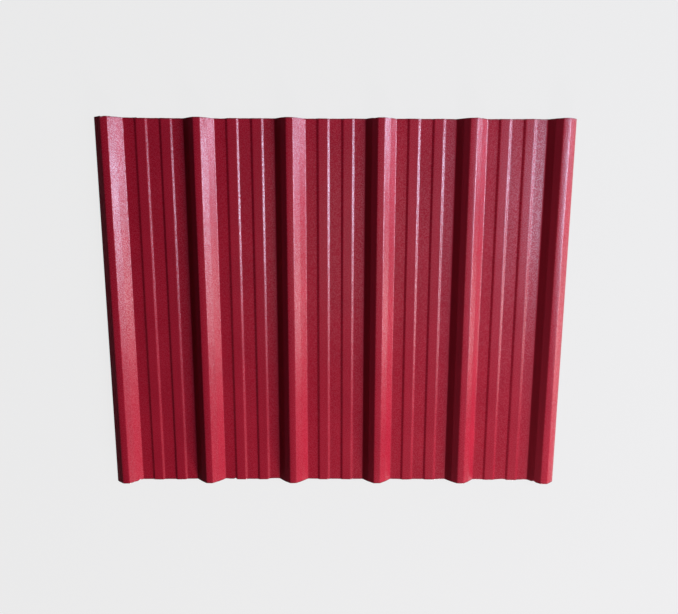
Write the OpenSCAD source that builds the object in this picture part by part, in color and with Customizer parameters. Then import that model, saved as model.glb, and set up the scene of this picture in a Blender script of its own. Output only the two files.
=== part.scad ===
// Trapezoidal roofing sheet, extruded in one piece from rigid PVC and sawn to length.
// High ribs run along it, and each pan between two ribs is stiffened by two low raised bands.
// It lies with its pans down: +X runs across the ribs, +Y along them and +Z up. The origin is
// at the middle of the sheet, on the plane that the undersides of the pans lie on.

/* [Sheet] */
// Length along the ribs, from one sawn end to the other
length = 890; // [200:1:3000]
// Thickness of the wall, the same all over the section
wall = 2; // [1:0.1:3]

/* [Ribs] */
// Number of ribs, with the one along each edge
rib_count = 6; // [2:1:9]
// Distance from the middle of one rib to the middle of the next
rib_pitch = 210; // [170:1:300]
// Height of the crests above the pans
rib_height = 25; // [20:0.5:45]
// Width of the flat crest
crest_width = 16; // [8:0.5:24]
// Width of a rib at its knees, where the slope of each side changes
knee_width = 42.8; // [34:0.2:58]
// Height of the knees above the pans
knee_height = 14.5; // [12:0.5:20]
// Width of a rib at its foot, on the pans
foot_width = 71; // [58:0.5:90]
// How far each edge of the sheet reaches out past the knee of its rib
edge_run = 5.6; // [2:0.2:9]

/* [Stiffeners] */
// Number of raised bands in each pan
band_count = 2; // [0:1:2]
// Distance from the middle of one band to the middle of the next
band_spacing = 57.4; // [40:0.1:70]
// Width of the flat top of a band
band_top = 20.7; // [10:0.1:24]
// Width of a band at its foot, on the pan
band_foot = 30.6; // [27:0.1:36]
// Height of the bands above the pan
band_height = 2.6; // [1:0.1:4]

/* [Bends] */
// Inner radius of the bends beside the crest
crest_radius = 2; // [0.5:0.5:6]
// Inner radius of the soft bends at the knees
knee_radius = 7.5; // [2:0.5:12]
// Inner radius of the bends at the foot of a rib
foot_radius = 3.5; // [0.5:0.5:8]
// Inner radius of the bends of the bands
band_radius = 3; // [0.5:0.5:4]
// Turn of one flat facet of a bend, in degrees
bend_step = 8; // [4:1:15]

/* [Hidden] */

// The upper face of the section is a chain of corners, each [x, z, inner radius of its bend].
knee_drop_run = (foot_width - knee_width) / 2;
edge_reach = knee_width / 2 + edge_run;
edge_height = knee_height * (1 - edge_run / knee_drop_run);

// Half of a rib, going down from the crest on the side that dir says, to its foot or to the edge
function rib_side(x, dir, at_edge) = [
    [x + dir * crest_width / 2, rib_height, crest_radius],
    [x + dir * knee_width / 2, knee_height, knee_radius],
    at_edge ? [x + dir * edge_reach, edge_height, 0] : [x + dir * foot_width / 2, 0, foot_radius],
];

function band(x) = [
    [x - band_foot / 2, 0, band_radius],
    [x - band_top / 2, band_height, band_radius],
    [x + band_top / 2, band_height, band_radius],
    [x + band_foot / 2, 0, band_radius],
];

function rib_x(i) = (i - (rib_count - 1) / 2) * rib_pitch;
function band_x(i, k) = rib_x(i) + rib_pitch / 2 + (k - (band_count - 1) / 2) * band_spacing;
function reversed(list) = [for (i = [len(list) - 1 : -1 : 0]) list[i]];

corners = [
    for (i = [0 : rib_count - 1]) each concat(
        reversed(rib_side(rib_x(i), -1, i == 0)),
        rib_side(rib_x(i), 1, i == rib_count - 1),
        i == rib_count - 1 ? [] : [for (k = [0 : 1 : band_count - 1]) each band(band_x(i, k))]
    )
];

function flat(corner) = [corner[0], corner[1] + wall];
function along(a, b) = (flat(b) - flat(a)) / norm(flat(b) - flat(a));
function upward(direction) = [-direction[1], direction[0]];
function turned(v, angle) = [
    v[0] * cos(angle) - v[1] * sin(angle),
    v[0] * sin(angle) + v[1] * cos(angle),
];

// The bend at corner b as [point on the upper face, upward normal there] from facet to facet.
// The two faces of the wall bend about one centre, so the wall keeps its thickness.
function bend(a, b, c) =
    let (
        u = along(a, b),
        v = along(b, c),
        turn = atan2(cross(u, v), u * v),
        side = sign(turn),
        radius = b[2] + (side < 0 ? wall : 0),
        start = flat(b) - u * radius * tan(abs(turn) / 2),
        centre = start + upward(u) * radius * side,
        steps = max(1, ceil(abs(turn) / bend_step))
    )
    [
        for (s = [0 : steps])
            let (normal = turned(upward(u), turn * s / steps))
            [centre - normal * radius * side, normal]
    ];

last = len(corners) - 1;
stations = concat(
    [[flat(corners[0]), upward(along(corners[0], corners[1]))]],
    [for (i = [1 : last - 1]) each bend(corners[i - 1], corners[i], corners[i + 1])],
    [[flat(corners[last]), upward(along(corners[last - 1], corners[last]))]]
);
upper_face = [for (s = stations) s[0]];
lower_face = [for (s = stations) s[0] - wall * s[1]];

module roofing_sheet() {
    color([0.55, 0.08, 0.15])
        rotate([90, 0, 0])
            linear_extrude(height = length, center = true)
                polygon(concat(upper_face, reversed(lower_face)));
}

roofing_sheet();
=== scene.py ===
import math
import random

import bpy
import numpy as np
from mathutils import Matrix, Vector


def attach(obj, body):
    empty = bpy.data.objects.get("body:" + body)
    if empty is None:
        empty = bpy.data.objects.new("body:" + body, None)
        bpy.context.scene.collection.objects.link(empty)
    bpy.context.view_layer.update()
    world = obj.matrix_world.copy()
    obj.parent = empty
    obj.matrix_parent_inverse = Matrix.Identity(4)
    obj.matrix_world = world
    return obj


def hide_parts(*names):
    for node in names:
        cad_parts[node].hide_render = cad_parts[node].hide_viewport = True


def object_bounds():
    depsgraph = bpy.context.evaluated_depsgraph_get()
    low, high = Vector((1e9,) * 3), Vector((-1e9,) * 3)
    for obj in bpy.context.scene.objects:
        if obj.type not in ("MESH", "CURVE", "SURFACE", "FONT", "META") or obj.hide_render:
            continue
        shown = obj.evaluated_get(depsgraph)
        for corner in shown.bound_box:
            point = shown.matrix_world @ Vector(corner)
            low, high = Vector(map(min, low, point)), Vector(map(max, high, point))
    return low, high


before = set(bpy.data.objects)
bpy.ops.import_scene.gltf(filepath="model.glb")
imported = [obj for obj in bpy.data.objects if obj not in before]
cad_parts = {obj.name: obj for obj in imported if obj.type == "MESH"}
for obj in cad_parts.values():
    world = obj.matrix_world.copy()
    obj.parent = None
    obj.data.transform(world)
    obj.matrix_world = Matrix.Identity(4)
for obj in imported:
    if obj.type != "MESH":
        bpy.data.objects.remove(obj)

cad_low, cad_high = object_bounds()

# ---------------------------------------------------------------------------
# The roofing sheet is one extrusion of crimson rigid PVC, 2 mm thick. While it is warm a roller
# presses a fine sand grain into its weather face and a former bends the ribs and the bands of
# the pans. Sawn to length and slit at both sides, it lies loose, on the underside of its pans.
# ---------------------------------------------------------------------------
MM = 0.001
WALL = 2.0 * MM
RIB_PITCH = 210 * MM
RIB_HEIGHT = 25 * MM
CREST_HALF = 8 * MM
KNEE_HALF = 21.4 * MM
KNEE_HEIGHT = 14.5 * MM
FOOT_HALF = 35.5 * MM
EDGE_RUN = 5.6 * MM
BAND_OFFSET = 28.7 * MM
BAND_TOP_HALF = 10.35 * MM
BAND_FOOT_HALF = 15.3 * MM
BAND_HEIGHT = 2.6 * MM

# Inner radius of each kind of bend
CREST_RADIUS = 2 * MM
KNEE_RADIUS = 7.5 * MM
FOOT_RADIUS = 3.5 * MM
BAND_RADIUS = 3 * MM

# How finely the bends and the flats are divided
BEND_STEP = math.radians(10)
FLAT_STEP = 3.2 * MM

rib_count = round((cad_high.x - cad_low.x) / RIB_PITCH) + 1
edge_reach = KNEE_HALF + EDGE_RUN
edge_height = KNEE_HEIGHT * (1 - EDGE_RUN / (FOOT_HALF - KNEE_HALF))


def rib_side(x, way, at_edge):
    """Corners of half a rib from its crest down, each (x, z, inner radius of the bend)."""
    foot = (x + way * FOOT_HALF, 0.0, FOOT_RADIUS)
    slit = (x + way * edge_reach, edge_height, 0.0)
    return [
        (x + way * CREST_HALF, RIB_HEIGHT, CREST_RADIUS),
        (x + way * KNEE_HALF, KNEE_HEIGHT, KNEE_RADIUS),
        slit if at_edge else foot,
    ]


def band(x):
    """Corners of one raised band in a pan."""
    return [
        (x - BAND_FOOT_HALF, 0.0, BAND_RADIUS),
        (x - BAND_TOP_HALF, BAND_HEIGHT, BAND_RADIUS),
        (x + BAND_TOP_HALF, BAND_HEIGHT, BAND_RADIUS),
        (x + BAND_FOOT_HALF, 0.0, BAND_RADIUS),
    ]


corners = []
for i in range(rib_count):
    rib_x = (i - (rib_count - 1) / 2) * RIB_PITCH
    corners += rib_side(rib_x, -1, i == 0)[::-1]
    corners += rib_side(rib_x, 1, i == rib_count - 1)
    if i < rib_count - 1:
        pan_x = rib_x + RIB_PITCH / 2
        corners += band(pan_x - BAND_OFFSET)
        corners += band(pan_x + BAND_OFFSET)


def bend(a, b, c):
    """Points and upward normals of the weather face round corner b, from flat to flat."""
    before, corner, after = (np.array([p[0], p[1] + WALL]) for p in (a, b, c))
    u = (corner - before) / np.linalg.norm(corner - before)
    v = (after - corner) / np.linalg.norm(after - corner)
    turn = math.atan2(u[0] * v[1] - u[1] * v[0], u @ v)
    side = math.copysign(1, turn)
    radius = b[2] + (WALL if side < 0 else 0)
    start = corner - u * radius * math.tan(abs(turn) / 2)
    up = np.array([-u[1], u[0]])
    centre = start + up * radius * side
    steps = max(2, math.ceil(abs(turn) / BEND_STEP))
    points = []
    for t in np.linspace(0, turn, steps + 1):
        nx = up[0] * math.cos(t) - up[1] * math.sin(t)
        nz = up[0] * math.sin(t) + up[1] * math.cos(t)
        n = np.array([nx, nz])
        points.append((centre - n * radius * side, n))
    return points


def flat(a, b):
    """Points between two others, so that a flat has faces of an even width."""
    (p, n), (q, _) = a, b
    parts = max(1, round(np.linalg.norm(q - p) / FLAT_STEP))
    return [(p + (q - p) * k / parts, n) for k in range(1, parts)]


def slit_edge(outer, inner, way):
    """The weather face's point at a side edge, where the sheet was slit."""
    p = np.array([outer[0], outer[1] + WALL])
    q = np.array([inner[0], inner[1] + WALL])
    u = (q - p) / np.linalg.norm(q - p) * way
    return (p, np.array([-u[1], u[0]]))


profile = [slit_edge(corners[0], corners[1], 1)]
for a, b, c in zip(corners, corners[1:], corners[2:]):
    arc = bend(a, b, c)
    profile += flat(profile[-1], arc[0]) + arc
last = slit_edge(corners[-1], corners[-2], -1)
profile += flat(profile[-1], last) + [last]

# The rim of a cut is slightly round. The steps are the depths from the cut at which it is
# divided.
RIM_RADIUS = 0.35 * MM
RIM_STEPS = [0, 0.1 * MM, RIM_RADIUS]
face = np.array([p for p, n in profile])
normal = np.array([n for p, n in profile])
run = np.concatenate([[0], np.cumsum(np.linalg.norm(np.diff(face, axis=0), axis=1))])
along = np.unique(np.concatenate([run, RIM_STEPS[1:], run[-1] - np.array(RIM_STEPS[1:])]))
face = np.column_stack([np.interp(along, run, face[:, k]) for k in (0, 1)])
normal = np.column_stack([np.interp(along, run, normal[:, k]) for k in (0, 1)])
from_side = np.minimum(along, along[-1] - along)


def rim_sink(depth):
    """How far a face has sunk into the rim's round at a depth from the cut."""
    t = np.clip(RIM_RADIUS - depth, 0, RIM_RADIUS)
    return RIM_RADIUS - np.sqrt(RIM_RADIUS**2 - t**2)


# The far cut steps in near the left side, as after a fresh start of the hand saw, and from there
# it runs a little out of square. The near cut is a little hollow.
FAR_START = -457 * MM
FAR_STEP = 1.1 * MM
FAR_SLOPE = 1.1 * MM
NEAR_HOLLOW = 1.7 * MM

# Length and height of the waves that the saw left along a cut, in mm
SAW_WAVES = [(310, 0.16), (96, 0.12), (41, 0.09), (17, 0.07), (9, 0.05)]

# Middle, half width and depth of each chip, in mm
FAR_CHIPS = [(-530, 2.4, 1.3), (-262, 7, 0.5), (91, 5, 0.6), (332, 3, 0.7)]
NEAR_CHIPS = [
    (-496, 3, 1.4),
    (-277, 6, 0.8),
    (-255, 2.6, 2.0),
    (-154, 15, 1.7),
    (424, 11, 1.2),
    (503, 3.2, 2.2),
]
saw = random.Random(7)
half_length = (cad_high.y - cad_low.y) / 2
half_width = (cad_high.x - cad_low.x) / 2


def wander(x):
    """How deep the saw's waves go into a cut."""
    depth = np.zeros_like(x)
    for wave, height in SAW_WAVES:
        phase = saw.uniform(0, 2 * math.pi)
        depth += height * MM * (1 + np.sin(2 * math.pi * x / (wave * MM) + phase))
    return depth


def chipped(x, chips):
    """How deep the chips bite into a cut."""
    depth = np.zeros_like(x)
    for middle, half, bite in chips:
        depth += bite * MM * np.exp(-np.abs((x - middle * MM) / (half * MM)) ** 4)
    return depth


across = face[:, 0]
past_start = (across - FAR_START) / (half_width - FAR_START)
far_cut = wander(across) + chipped(across, FAR_CHIPS)
far_cut += np.where(past_start > 0, FAR_STEP + FAR_SLOPE * past_start, 0)
near_cut = wander(across) + chipped(across, NEAR_CHIPS)
near_cut += NEAR_HOLLOW * (1 - (across / half_width) ** 2)

# Rows of points along the sheet, closer together at both cuts
END_ROWS = RIM_STEPS + [1.2 * MM, 2.6 * MM, 5 * MM, 9 * MM]
INNER_ROWS = 31
INNER_START = 18 * MM
inner_rows = np.linspace(-half_length + INNER_START, half_length - INNER_START, INNER_ROWS)
rows = [(-half_length + near_cut + d, d) for d in END_ROWS]
rows += [(np.full_like(across, y), half_length - abs(y)) for y in inner_rows]
rows += [(half_length - far_cut - d, d) for d in END_ROWS[::-1]]

# The warm sheet never cools quite flat. The crests come out slightly round, each pan rises a
# little from the feet of its ribs to its bands, and very slow, shallow waves run over it all.
CREST_ROUND = 0.25 * MM
PAN_RISE = 0.8 * MM
WAVE_HEIGHT = 0.2 * MM
WAVE_COUNT = 4
WAVE_PEAK = 2.2

# Least and greatest size of a slow wave across and along the sheet, in mm
WAVES_ACROSS = (90, 260)
WAVES_ALONG = (170, 420)
pan_rim = RIB_PITCH / 2 - FOOT_HALF
band_rim = BAND_OFFSET + BAND_FOOT_HALF
swells = []
for _ in range(WAVE_COUNT):
    wide = saw.uniform(*WAVES_ACROSS)
    long = saw.uniform(*WAVES_ALONG)
    swells.append((wide, long, saw.uniform(0, 6.28), saw.uniform(0, 6.28)))


def swell(x, y):
    """Height of the slow waves, from 0 to 1."""
    total = np.zeros_like(x)
    for wide, long, p, q in swells:
        across_wave = np.sin(2 * math.pi * x / (wide * MM) + p)
        total += across_wave * np.sin(2 * math.pi * y / (long * MM) + q)
    return 0.5 + 0.5 * np.clip(total / WAVE_PEAK, -1, 1)


# The waves only lift the pans and only lower the crests, so the sheet stays within its height.
height_share = np.clip((face[:, 1] - WALL) / RIB_HEIGHT, 0, 1)
from_rib = (across + RIB_PITCH * rib_count / 2) % RIB_PITCH - RIB_PITCH / 2
off_rib = np.abs(from_rib)
off_pan = RIB_PITCH / 2 - off_rib
settled = -CREST_ROUND * np.clip(off_rib / CREST_HALF, 0, 1) ** 2 * height_share
settled += PAN_RISE * np.clip((pan_rim - off_pan) / (pan_rim - band_rim), 0, 1) * (off_pan < pan_rim)

loops = []
from_cut = []
for y, depth in rows:
    sink = rim_sink(np.minimum(from_side, depth))[:, None]
    lift = settled + WAVE_HEIGHT * swell(across, y) * (1 - 2 * height_share)
    top = face - normal * sink
    under = face - normal * (WALL - sink)
    top_points = np.column_stack([top[:, 0], y, top[:, 1] + lift])
    under_points = np.column_stack([under[:, 0], y, under[:, 1] + lift])
    loops.append(np.concatenate([top_points, under_points[::-1]]))
    from_cut.append(np.full(2 * len(face), depth))
points = np.concatenate(loops)
from_cut = np.concatenate(from_cut)

# Each row is a loop: over the weather face, and back along the underside.
n_face = len(face)
n_loop = 2 * n_face
WEATHER, UNDER, CUT = 0, 1, 2
quads = []
finish_of = []
for r in range(len(rows) - 1):
    for k in range(n_loop):
        a = r * n_loop + k
        b = r * n_loop + (k + 1) % n_loop
        quads.append((a, a + n_loop, b + n_loop, b))
        at_slit = k in (n_face - 1, n_loop - 1)
        finish_of.append(CUT if at_slit else WEATHER if k < n_face else UNDER)
for r in (0, len(rows) - 1):
    for k in range(n_face - 1):
        a = r * n_loop
        quad = (a + k, a + k + 1, a + n_loop - 2 - k, a + n_loop - 1 - k)
        quads.append(quad if r == 0 else quad[::-1])
        finish_of.append(CUT)

SHARP_ANGLE = math.radians(40)
mesh = bpy.data.meshes.new("roofing_sheet_skin")
mesh.from_pydata(points.tolist(), [], quads)
mesh.polygons.foreach_set("material_index", finish_of)
mesh.polygons.foreach_set("use_smooth", [True] * len(quads))
mesh.set_sharp_from_angle(angle=SHARP_ANGLE)

# A chip bares the paler PVC beside it: fully from a bite of 1.5 mm, and fading over the reach.
BARED_REACH = 1.6 * MM
BARED_STRETCH = 0.8
FULL_BITE = 1.5
bared = np.zeros(len(points))
for end, chips in ((1, FAR_CHIPS), (-1, NEAR_CHIPS)):
    for middle, _, bite in chips:
        aside = points[:, 0] - middle * MM
        inward = (points[:, 1] - end * half_length) * BARED_STRETCH + end * bite * MM
        near = np.exp(-((np.hypot(aside, inward) / BARED_REACH) ** 2))
        bared = np.maximum(bared, near * min(1, bite / FULL_BITE))

# The left sides of the ribs get a duller finish, from the crest's edge to just past the foot, so
# that they stay dark above a pale floor.
DULL_PAST_FOOT = 2 * MM
DULL_FADE = 1 * MM
dull = np.minimum(-from_rib - CREST_HALF, from_rib + FOOT_HALF + DULL_PAST_FOOT)
dull = np.clip(dull / DULL_FADE, 0, 1)
dull = np.tile(np.concatenate([dull, dull[::-1]]), len(rows))

for name, values in (("from_cut", from_cut), ("bared", bared), ("dull", dull)):
    mesh.attributes.new(name, "FLOAT", "POINT").data.foreach_set("value", values.astype(np.float32))
sheet = bpy.data.objects.new("roofing_sheet_skin", mesh)
bpy.context.scene.collection.objects.link(sheet)

# One PVC, three finishes. The colours are the pigment's own, a darker crimson painted beside a cut
# as shade along its edge, and that of the PVC where a chip bares it. Its refraction is that of plain
# PVC.
CRIMSON = (0.31, 0.0083, 0.0219)
PAINTED_CUT_SHADE = (0.155, 0.0040, 0.011)
BARE_PVC = (0.62, 0.33, 0.36)
PVC_IOR = 1.5

# Sizes of the clouds in the pigment, of the lines that the die draws along the sheet, of the
# sand grain, and of the larger pips among it
CLOUD_SIZE = 90 * MM
LINE_SIZE = 5 * MM
LINE_STRETCH = (1, 0.012, 1)
GRAIN_SIZE = 1.8 * MM
PIP_SIZE = 3.2 * MM

# How far each of them lightens or darkens the colour
CLOUD_TONE = 0.05
LINE_TONE = 0.04
GRAIN_TONE = 0.05

# Painted shade along a cut darkens this share of the colour at the cut, and fades between two
# distances.
PAINTED_SHADE_SHARE = 0.85
PAINTED_SHADE_FROM = 1.0 * MM
PAINTED_SHADE_TO = 2.8 * MM

# The clouds also vary the roughness. A dull side is rougher than the rest by its factor.
ROUGH_VARIES = 0.03
DULL_ROUGHER = 2.2

# The tips of the grain, which are the highest part of its noise, are polished: a glossier cap
# over the matt base. Its index is above PVC's own, for highlights as strong as the real ones.
CAP_ROUGHNESS = 0.29
CAP_IOR = 1.78
TIPS_FROM = 0.48
TIPS_TO = 0.57


def wired(tree, kind, settings, **inputs):
    """A node with its settings, its plain input values and its links."""
    node = tree.nodes.new(kind)
    for name, value in settings.items():
        setattr(node, name, value)
    for name, value in inputs.items():
        key = int(name[1:]) if name[0] == "_" else name.replace("_", " ")
        socket = node.inputs[key]
        if isinstance(value, bpy.types.NodeSocket):
            tree.links.new(value, socket)
        else:
            socket.default_value = value
    return node


def speckle(tree, place, size, stretch=(1, 1, 1), detail=2.0):
    """Noise whose grains are about this size, stretched where it was drawn through the die."""
    scaled = wired(tree, "ShaderNodeMapping", {}, Vector=place, Scale=stretch).outputs[0]
    noise = wired(tree, "ShaderNodeTexNoise", {}, Vector=scaled, Scale=1 / size, Detail=detail)
    return noise.outputs[0]


def spread(tree, value, low, high, start=0.3, end=0.7):
    """Turns a value between start and end into a number between low and high."""
    limits = {"From_Min": start, "From_Max": end, "To_Min": low, "To_Max": high}
    return wired(tree, "ShaderNodeMapRange", {}, Value=value, **limits).outputs[0]


def times(tree, a, b):
    """One value times another."""
    return wired(tree, "ShaderNodeMath", {"operation": "MULTIPLY"}, _0=a, _1=b).outputs[0]


def blended(tree, share, a, b):
    """Colour a, turning to colour b where share is 1."""
    return wired(tree, "ShaderNodeMix", {"data_type": "RGBA"}, _0=share, _6=a, _7=b).outputs[2]


def noted(tree, name):
    """What the mesh notes under this name at each point."""
    return wired(tree, "ShaderNodeAttribute", {"attribute_name": name}).outputs["Fac"]


def bumped(tree, height, depth, below=None):
    """A surface raised by a height, on top of an earlier one where there is one."""
    inputs = {"Height": height, "Distance": depth}
    if below is not None:
        inputs["Normal"] = below
    return wired(tree, "ShaderNodeBump", {}, **inputs).outputs[0]


def pvc_finish(name, painted_shade_colour, rough, level, cap, grain_depth, line_depth):
    """Coloured rigid PVC: clouds and die lines in its colour, die lines and grain in its face.

    cap is the least and the greatest share of the polished cap, or None where there is none.
    """
    finish = bpy.data.materials.new(name)
    finish.use_nodes = True
    tree = finish.node_tree
    shader = tree.nodes["Principled BSDF"]
    place = wired(tree, "ShaderNodeTexCoord", {}).outputs["Object"]
    clouds = speckle(tree, place, CLOUD_SIZE, detail=3)
    drawn = speckle(tree, place, LINE_SIZE, stretch=LINE_STRETCH)
    fine = speckle(tree, place, GRAIN_SIZE, detail=1)

    cloud_tone = spread(tree, clouds, 1 - CLOUD_TONE, 1 + CLOUD_TONE)
    line_tone = spread(tree, drawn, 1 - LINE_TONE, 1 + LINE_TONE)
    grain_tone = spread(tree, fine, 1 - GRAIN_TONE, 1 + GRAIN_TONE)
    tone = times(tree, times(tree, cloud_tone, line_tone), grain_tone)
    pigment = wired(tree, "ShaderNodeVectorMath", {"operation": "SCALE"}, _0=CRIMSON, Scale=tone)
    # Painted shade: close to a cut the colour turns to the darker crimson, as a shaded edge would
    # look.
    painted_shade = spread(tree, noted(tree, "from_cut"), PAINTED_SHADE_SHARE, 0, PAINTED_SHADE_FROM, PAINTED_SHADE_TO)
    colour = blended(tree, painted_shade, pigment.outputs[0], (*painted_shade_colour, 1))
    colour = blended(tree, noted(tree, "bared"), colour, (*BARE_PVC, 1))
    tree.links.new(colour, shader.inputs["Base Color"])

    side = noted(tree, "dull")
    worn = spread(tree, clouds, rough - ROUGH_VARIES, rough + ROUGH_VARIES)
    worn = times(tree, worn, spread(tree, side, 1, DULL_ROUGHER, 0, 1))
    tree.links.new(worn, shader.inputs["Roughness"])
    shader.inputs["Specular IOR Level"].default_value = level
    shader.inputs["IOR"].default_value = PVC_IOR
    surface = bumped(tree, drawn, line_depth)
    if cap:
        tips = spread(tree, fine, cap[0], cap[1], TIPS_FROM, TIPS_TO)
        tips = times(tree, tips, spread(tree, side, 1, 0, 0, 1))
        tree.links.new(tips, shader.inputs["Coat Weight"])
        shader.inputs["Coat Roughness"].default_value = CAP_ROUGHNESS
        shader.inputs["Coat IOR"].default_value = CAP_IOR
    if grain_depth:
        cells = {"feature": "SMOOTH_F1"}
        pips = wired(tree, "ShaderNodeTexVoronoi", cells, Vector=place, Scale=1 / PIP_SIZE)
        grain = times(tree, pips.outputs["Distance"], fine)
        surface = bumped(tree, grain, grain_depth, surface)
        tree.links.new(surface, shader.inputs["Coat Normal"])
    tree.links.new(surface, shader.inputs["Normal"])
    return finish


# The weather face is matt, with a grain of polished tips. The underside is plain, and a cut is
# rough from the saw.
weather_face = pvc_finish(
    "pvc_weather_face",
    PAINTED_CUT_SHADE,
    rough=0.36,
    level=0.2,
    cap=(0.06, 1.0),
    grain_depth=0.15 * MM,
    line_depth=0.012 * MM,
)
underside = pvc_finish(
    "pvc_underside",
    PAINTED_CUT_SHADE,
    rough=0.38,
    level=0.35,
    cap=None,
    grain_depth=0,
    line_depth=0.03 * MM,
)
cut_edge = pvc_finish(
    "pvc_cut",
    CRIMSON,
    rough=0.6,
    level=0.3,
    cap=None,
    grain_depth=0.3 * MM,
    line_depth=0.03 * MM,
)
for finish in (weather_face, underside, cut_edge):
    mesh.materials.append(finish)

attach(sheet, "root")
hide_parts("roofing_sheet")

# ---------------------------------------------------------------------------
# The floor is plain, pale and matt, and level under the sheet. The camera and any gloss see it
# at an even brightness, apart from a weak share of lamplight that keeps the sheet's shadow.
# ---------------------------------------------------------------------------
FLOOR_SIZE = 100
FLOOR_DROP = 0.5 * MM
PALE = (0.8, 0.8, 0.8, 1)
SHADOW_SHARE = (0.035, 0.035, 0.035, 1)


def larger(tree, a, b):
    """The larger of two values."""
    return wired(tree, "ShaderNodeMath", {"operation": "MAXIMUM"}, _0=a, _1=b).outputs[0]


bpy.ops.mesh.primitive_plane_add(size=FLOOR_SIZE, location=(0, 0, -FLOOR_DROP))
floor = bpy.context.object
floor.name = "floor"
pale_floor = bpy.data.materials.new("pale_floor")
pale_floor.use_nodes = True
floor_tree = pale_floor.node_tree
floor_tree.nodes.clear()
plain = wired(floor_tree, "ShaderNodeBsdfDiffuse", {}, Color=PALE).outputs[0]
glow = wired(floor_tree, "ShaderNodeEmission", {}, Color=PALE).outputs[0]
shadowed = wired(floor_tree, "ShaderNodeBsdfDiffuse", {}, Color=SHADOW_SHARE).outputs[0]
seen = wired(floor_tree, "ShaderNodeAddShader", {}, _0=glow, _1=shadowed).outputs[0]
ray = wired(floor_tree, "ShaderNodeLightPath", {}).outputs
looked_at = larger(floor_tree, ray["Is Camera Ray"], ray["Is Glossy Ray"])
looked_at = larger(floor_tree, looked_at, ray["Is Transmission Ray"])
mixed = wired(floor_tree, "ShaderNodeMixShader", {}, _0=looked_at, _1=plain, _2=seen).outputs[0]
wired(floor_tree, "ShaderNodeOutputMaterial", {}, Surface=mixed)
floor.data.materials.append(pale_floor)

# ---------------------------------------------------------------------------
# Soft studio lamps, all aimed at the sheet. Four stand to its right, from low to high, a strong
# strip stands beyond its near end and lights the ribs along their length, and three weak fills
# stand elsewhere. The room itself is dark.
# ---------------------------------------------------------------------------
COOL = (0.92, 1.0, 1.35)
WARM = (1.16, 1.0, 1.04)


def softbox(name, azimuth, elevation, distance, width, height, strength, tint):
    """A soft lamp aimed at the sheet.

    Azimuth 0 is to the sheet's right and 90 beyond its far end. Sizes and distance are in
    metres, and strength is in watts for each square metre of the lamp's face.
    """
    az = math.radians(azimuth)
    el = math.radians(elevation)
    way = Vector((math.cos(el) * math.cos(az), math.cos(el) * math.sin(az), math.sin(el)))
    lamp = bpy.data.objects.new(name, bpy.data.lights.new(name, "AREA"))
    lamp.data.shape = "RECTANGLE"
    lamp.data.size = width
    lamp.data.size_y = height
    lamp.data.energy = strength * width * height
    lamp.data.color = tint
    lamp.location = way * distance
    lamp.rotation_euler = (-way).to_track_quat("-Z", "Y").to_euler()
    bpy.context.scene.collection.objects.link(lamp)


softbox("key_softbox", 11, 32, 3.25, 0.54, 1.18, 52, COOL)
softbox("low_softbox", 20, 9, 4.4, 1.8, 0.35, 103, COOL)
softbox("wide_softbox", -9, 23, 2.4, 0.67, 2.06, 12.9, WARM)
softbox("front_strip", -70, 14, 3.44, 0.52, 1.06, 261, WARM)
softbox("high_softbox", 7, 50, 4.4, 0.95, 1.06, 74, COOL)
softbox("front_fill", 270, 20, 2.6, 1.1, 0.8, 0.4, WARM)
softbox("left_fill", 200, 35, 2.6, 1.1, 0.8, 0.3, WARM)
softbox("overhead_fill", 0, 88, 2.6, 1.1, 0.8, 2, WARM)
room = bpy.data.worlds.new("studio")
bpy.context.scene.world = room
room.use_nodes = True
room.node_tree.nodes["Background"].inputs["Strength"].default_value = 0.0

# ---------------------------------------------------------------------------
# The camera looks down from 1.4 m above the far half of the sheet, tilted a little towards its
# near end. Its lens is slightly wide, as in a plain hand-held camera.
# ---------------------------------------------------------------------------
CAMERA_PLACE = Vector((7.9, 250.8, 1420.2)) * MM
CAMERA_TURN = (-9.909, -0.022, 0.11)
camera = bpy.data.objects.new("camera", bpy.data.cameras.new("camera"))
camera.data.sensor_width = 36
camera.data.lens = 31.4867
camera.location = CAMERA_PLACE
camera.rotation_euler = [math.radians(angle) for angle in CAMERA_TURN]
bpy.context.scene.collection.objects.link(camera)
bpy.context.scene.camera = camera
bpy.context.scene.view_settings.view_transform = "Standard"
